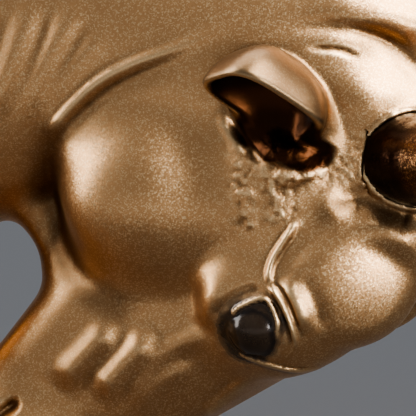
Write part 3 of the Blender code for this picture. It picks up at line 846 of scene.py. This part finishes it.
def smooth_shading(mesh, normals):
    """Every corner takes the form's own normal, unless its face turns sharply away from it, as at the
    underside's rim and in the sockets."""
    count = len(mesh.polygons)
    faces = np.empty(count * 3, np.float32)
    mesh.polygons.foreach_get("normal", faces)
    faces = faces.reshape(-1, 3)
    corners = np.empty(len(mesh.loops), np.int32)
    mesh.loops.foreach_get("vertex_index", corners)
    totals = np.empty(count, np.int32)
    mesh.polygons.foreach_get("loop_total", totals)
    of_face = np.repeat(faces, totals, axis=0)
    smooth = normals[corners]
    sharp = (np.sum(of_face * smooth, axis=1) < SHARP_TURN) | (of_face[:, 2] < -LOOKS_DOWN)
    mesh.normals_split_custom_set(np.where(sharp[:, None], of_face, smooth).tolist())


def skin_piece(sizes):
    """The skin as an object, cut flat below and thinned to the triangles that it may have."""
    coarse = 1.0
    step = sizes.skin_step * coarse / UNIT
    points, faces = skin_of(lambda p: skin_form(p, sizes), GRID_LOW, GRID_HIGH, step)
    mesh = bpy.data.meshes.new("head_and_neck_skin")
    mesh.from_pydata((points * UNIT).tolist(), [], faces)
    obj = new_object("head_and_neck_skin", mesh)
    cut_flat(obj)
    thin = obj.modifiers.new("thin", "DECIMATE")
    thin.ratio = min(1.0, sizes.skin_faces / coarse ** 2 / (2 * len(faces)))
    return with_modifiers_applied(obj)


def settled(mesh, sizes):
    """Puts the thinned skin's points back onto the form, but for those of the underside's rim and the
    sockets. Gives the points, with their normals, bend and swell."""
    places = np.empty(len(mesh.vertices) * 3, np.float32)
    mesh.vertices.foreach_get("co", places)
    p = places.reshape(-1, 3) / UNIT
    normals, off, bend, swell = skin_details(p, sizes)
    along, out = along_plug(on_left(p))
    in_socket = (out < HORN_THICKNESS / 2 / UNIT + 1.0) & (along > -2) & (along < 4 * SOCKET_DEPTH / UNIT)
    moves = (p[:, 2] > 0.6) & ~in_socket
    p = p - np.where(moves, np.clip(off, -0.3, 0.3), 0)[:, None] * normals
    mesh.vertices.foreach_set("co", (p * UNIT).astype(np.float32).ravel())
    mesh.update()
    return p, normals, bend, swell


def store_coats(mesh, p, bend, swell):
    """Keeps where each coat of the paint lies: the wash stays where the skin bends inwards, and is painted
    shade there as well, and rubs off where it bends outwards, where the pale lies as wear and painted
    highlight; painted shade lies in the crevices."""
    q, h = on_left(p), in_head_frame(p)
    hollows = np.clip(-bend / 2.2, 0, 1) + np.clip(-swell / 1.2 - 0.1, 0, 1)
    # wash with painted shade where the skin bends inwards
    store(mesh, "groove", 0.5 * eased(hollows))
    # pale painted highlight and wear where the skin bends outwards
    store(mesh, "ridge_highlight_and_wear", eased(np.clip(bend / 1.5 - 0.15, 0, 1)))
    store(mesh, "rough_skin", rough_share(h))
    store(mesh, "eye_paint", eye_share(h))
    # glaze in the ear's cup, and glaze with painted shade on the root and lobe under it
    store(mesh, "ear_hollow", hollow_share(q, h))
    store(mesh, "ear_leaf", leaf_share(q))
    # painted shade behind the jaw and under the horn
    store(mesh, "crevice_shade", np.maximum(ran_along(h, CREVICE_SHADE), ran_along(h, HORN_SHADE)))


class BULLBUST_OT_head(Operator):
    """Makes the head and neck with their folds, ears, eyes and horn sockets"""
    bl_idname = "bull_bust.head"
    bl_label = "Head and Neck"

    def execute(self, context):
        sizes, colours = context.scene.bull_bust_sizes, context.scene.bull_bust_colours
        obj = skin_piece(sizes)
        mesh = obj.data
        p, normals, bend, swell = settled(mesh, sizes)
        store_coats(mesh, p, bend, swell)
        mesh.shade_smooth()
        smooth_shading(mesh, normals)
        mesh.materials.append(skin_paint(sizes, colours))
        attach(obj, BODY)
        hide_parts("head_and_neck")
        return {"FINISHED"}


def horn_tree(material):
    """Geometry nodes that turn the horn's middle line into its body: a round section swept along it, with
    its thickness read from the line's own points, and faint unevenness as of a hand-finished casting."""
    tree = bpy.data.node_groups.new("horn_body", "GeometryNodeTree")
    tree.interface.new_socket("Geometry", in_out="INPUT", socket_type="NodeSocketGeometry")
    sides = tree.interface.new_socket("Sides", in_out="INPUT", socket_type="NodeSocketInt")
    sides.default_value = 72
    waver = tree.interface.new_socket("Unevenness", in_out="INPUT", socket_type="NodeSocketFloat")
    waver.default_value = 0.00006
    tree.interface.new_socket("Geometry", in_out="OUTPUT", socket_type="NodeSocketGeometry")
    given = node(tree, "NodeGroupInput")
    line = node(tree, "GeometryNodeMeshToCurve", inputs={"Mesh": given.outputs["Geometry"]})
    thickness = node(tree, "GeometryNodeInputNamedAttribute", {"data_type": "FLOAT"}, {"Name": "thickness"})
    ring = node(tree, "GeometryNodeCurvePrimitiveCircle", {"mode": "RADIUS"},
                {"Radius": 1.0, "Resolution": given.outputs["Sides"]})
    swept = node(tree, "GeometryNodeCurveToMesh", inputs={
        "Curve": line.outputs[0], "Profile Curve": ring.outputs[0],
        "Scale": thickness.outputs["Attribute"], "Fill Caps": True})
    place = node(tree, "GeometryNodeInputPosition")
    noise = node(tree, "ShaderNodeTexNoise",
                 inputs={"Vector": place.outputs[0], "Scale": 1 / 0.0055, "Detail": 2.0})
    centred = node(tree, "ShaderNodeMath", {"operation": "SUBTRACT"}, {0: noise.outputs[0], 1: 0.5})
    lift = node(tree, "ShaderNodeMath", {"operation": "MULTIPLY"},
                {0: centred.outputs[0], 1: given.outputs["Unevenness"]})
    out = node(tree, "GeometryNodeInputNormal")
    move = node(tree, "ShaderNodeVectorMath", {"operation": "SCALE"},
                {0: out.outputs[0], "Scale": lift.outputs[0]})
    moved = node(tree, "GeometryNodeSetPosition",
                 inputs={"Geometry": swept.outputs[0], "Offset": move.outputs[0]})
    whole = node(tree, "GeometryNodeRealizeInstances", inputs={"Geometry": moved.outputs[0]})
    painted = node(tree, "GeometryNodeSetMaterial",
                   inputs={"Geometry": whole.outputs[0], "Material": material})
    node(tree, "NodeGroupOutput", inputs={"Geometry": painted.outputs[0]})
    return tree


def horn_line(name, side):
    """The horn's middle line as a chain of edges, each point with its thickness and its nearness to the
    seam."""
    course = horn_course(side, HORN_CUTS)
    steps = np.linspace(0, 1, len(course))
    radii = np.interp(steps, np.linspace(0, 1, len(HORN_TAPER)), HORN_TAPER) * HORN_THICKNESS / 2
    end_way = course[-1] - course[-2]
    end_way /= np.linalg.norm(end_way)
    tip = radii[-1]
    turns = np.radians(TIP_TURNS)
    course = np.vstack([course[:-1], *[course[-1] - end_way * (tip - tip * sin(t)) for t in turns]])
    radii = np.concatenate([radii[:-1], [tip * cos(t) for t in turns]])
    mesh = bpy.data.meshes.new(name)
    mesh.from_pydata(course.tolist(), [(i, i + 1) for i in range(len(course) - 1)], [])
    run = np.concatenate([[0], np.cumsum(np.linalg.norm(np.diff(course, axis=0), axis=1))])
    store(mesh, "thickness", radii)
    store(mesh, "seam", eased((SOCKET_DEPTH * 1.35 - run) / (0.5 * SOCKET_DEPTH)))
    return mesh


class BULLBUST_OT_horns(Operator):
    """Makes both horns, each with its plug in the head's socket"""
    bl_idname = "bull_bust.horns"
    bl_label = "Horns"

    def execute(self, context):
        sizes, colours = context.scene.bull_bust_sizes, context.scene.bull_bust_colours
        tree = horn_tree(horn_paint(sizes, colours))
        for name, side in (("horn_left", 1), ("horn_right", -1)):
            obj = new_object(name + "_body", horn_line(name + "_line", side))
            sweep = obj.modifiers.new("sweep", "NODES")
            sweep.node_group = tree
            with_modifiers_applied(obj)
            bm = bmesh.new()
            bm.from_mesh(obj.data)
            bmesh.ops.remove_doubles(bm, verts=bm.verts[:], dist=1e-6)
            bmesh.ops.recalc_face_normals(bm, faces=bm.faces[:])
            bm.to_mesh(obj.data)
            bm.free()
            obj.data.name = name + "_body"
            obj.data.shade_smooth()
            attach(obj, BODY)
            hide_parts(name)
        return {"FINISHED"}


# The photograph's view: the point looked at, the camera's way round and up, its distance, how far the head's
# side is in front of that point, and the width seen there
AIM = Vector((0.064, 0.0, 0.046))
VIEW_TURN = 14.0
VIEW_RISE = 5.5
VIEW_DISTANCE = 0.45
SIDE_DEPTH = 0.0126
VIEW_WIDTH = 0.04784
SENSOR_WIDTH = 36.0

# Each soft light: its way from the aim (right, up, towards the camera), distance, width, height and watts
SOFTBOXES = {
    "left_softbox": ((-0.92, 0.36, -0.20), 0.34, 0.28, 0.46, 3.9),
    "left_fill": ((-0.62, 0.10, 0.78), 0.70, 0.80, 0.90, 0.28),
    "front_softbox": ((0.66, -0.26, 0.71), 0.40, 0.18, 0.30, 4.0),
    "right_softbox": ((0.60, 0.70, 0.38), 0.38, 0.30, 0.28, 4.0),
    "top_softbox": ((0.00, 0.98, -0.20), 0.34, 0.34, 0.26, 1.5),
    "bounce_card": ((-0.15, -0.20, 0.95), 0.21, 0.34, 0.26, 0.13),
}
ROOM_LIGHT = 0.24
FLOOR_REACH = 4.0


def view_way(right, up, nearer):
    """The direction that leads that far right, up and towards the camera, taken as level with the aim."""
    turn = radians(VIEW_TURN)
    across = Vector((cos(turn), sin(turn), 0))
    front = Vector((sin(turn), -cos(turn), 0))
    return (across * right + Vector((0, 0, 1)) * up + front * nearer).normalized()


def softbox(name, way, distance, width, height, power):
    """A rectangular soft light that faces the aim."""
    light = bpy.data.lights.new(name, "AREA")
    light.shape = "RECTANGLE"
    light.size, light.size_y = width, height
    light.energy = power
    obj = new_object(name, light)
    heading = view_way(*way)
    obj.location = AIM + heading * distance
    obj.rotation_euler = (-heading).to_track_quat("-Z", "Y").to_euler()
    return obj


def studio_floor(colour):
    """A wide sheet of plain matt card under the bust."""
    bm = bmesh.new()
    bmesh.ops.create_grid(bm, x_segments=1, y_segments=1, size=FLOOR_REACH)
    mesh = bpy.data.meshes.new("floor")
    bm.to_mesh(mesh)
    bm.free()
    material = bpy.data.materials.new("matt_grey_card")
    material.use_nodes = True
    shader = material.node_tree.nodes["Principled BSDF"]
    shader.inputs["Base Color"].default_value = (*colour, 1)
    shader.inputs["Roughness"].default_value = 0.9
    mesh.materials.append(material)
    return new_object("floor", mesh)


def studio_room():
    """Even, faintly cool light from all round."""
    world = bpy.data.worlds.new("room")
    world.use_nodes = True
    background = world.node_tree.nodes["Background"]
    background.inputs["Color"].default_value = (*srgb("#f4f6fa"), 1)
    background.inputs["Strength"].default_value = ROOM_LIGHT
    return world


def studio_lights():
    """The softboxes light the bust and not the floor, and the front one lights the head alone."""
    bust = bpy.data.collections.new("lit_by_the_softboxes")
    head = bpy.data.collections.new("lit_by_the_front_softbox")
    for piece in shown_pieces():
        bust.objects.link(piece)
        if piece.name.startswith("head"):
            head.objects.link(piece)
    for name, settings in SOFTBOXES.items():
        obj = softbox(name, *settings)
        obj.light_linking.receiver_collection = head if name == "front_softbox" else bust
        if name == "bounce_card":
            obj.rotation_euler = (pi, 0, 0)


def studio_camera():
    """The camera in the photograph's place."""
    camera = bpy.data.cameras.new("camera")
    camera.sensor_width = SENSOR_WIDTH
    camera.lens = SENSOR_WIDTH * (VIEW_DISTANCE - SIDE_DEPTH) / VIEW_WIDTH
    camera.clip_start = 0.01
    obj = new_object("camera", camera)
    back = view_way(0, sin(radians(VIEW_RISE)), cos(radians(VIEW_RISE)))
    obj.location = AIM + back * VIEW_DISTANCE
    obj.rotation_euler = (-back).to_track_quat("-Z", "Y").to_euler()
    return obj


class BULLBUST_OT_stage(Operator):
    """Makes the floor, the soft lights and the camera"""
    bl_idname = "bull_bust.stage"
    bl_label = "Stage"

    def execute(self, context):
        scene = context.scene
        studio_floor(scene.bull_bust_colours.floor)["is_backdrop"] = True
        scene.world = studio_room()
        studio_lights()
        scene.camera = studio_camera()
        scene.view_settings.view_transform = "AgX"
        scene.view_settings.look = "AgX - Medium High Contrast"
        return {"FINISHED"}


class BULLBUST_PT_sidebar(Panel):
    """Sizes, colours and pieces of the bull bust"""
    bl_idname = "BULLBUST_PT_sidebar"
    bl_label = "Bull Bust"
    bl_space_type = "VIEW_3D"
    bl_region_type = "UI"
    bl_category = "Bull Bust"

    def draw(self, context):
        scene = context.scene
        for settings in (scene.bull_bust_sizes, scene.bull_bust_colours):
            column = self.layout.column(align=True)
            for name in type(settings).__annotations__:
                column.prop(settings, name)
        for operator in (BULLBUST_OT_head, BULLBUST_OT_horns, BULLBUST_OT_stage):
            self.layout.operator(operator.bl_idname)


CLASSES = (BullBustSizes, BullBustColours, BULLBUST_OT_head, BULLBUST_OT_horns, BULLBUST_OT_stage,
           BULLBUST_PT_sidebar)


def register():
    for cls in CLASSES:
        bpy.utils.register_class(cls)
    bpy.types.Scene.bull_bust_sizes = PointerProperty(type=BullBustSizes)
    bpy.types.Scene.bull_bust_colours = PointerProperty(type=BullBustColours)


def unregister():
    del bpy.types.Scene.bull_bust_sizes
    del bpy.types.Scene.bull_bust_colours
    for cls in reversed(CLASSES):
        bpy.utils.unregister_class(cls)


def main():
    register()
    bpy.ops.bull_bust.head()
    bpy.ops.bull_bust.horns()
    bpy.ops.bull_bust.stage()


if __name__ == "__main__":
    main()
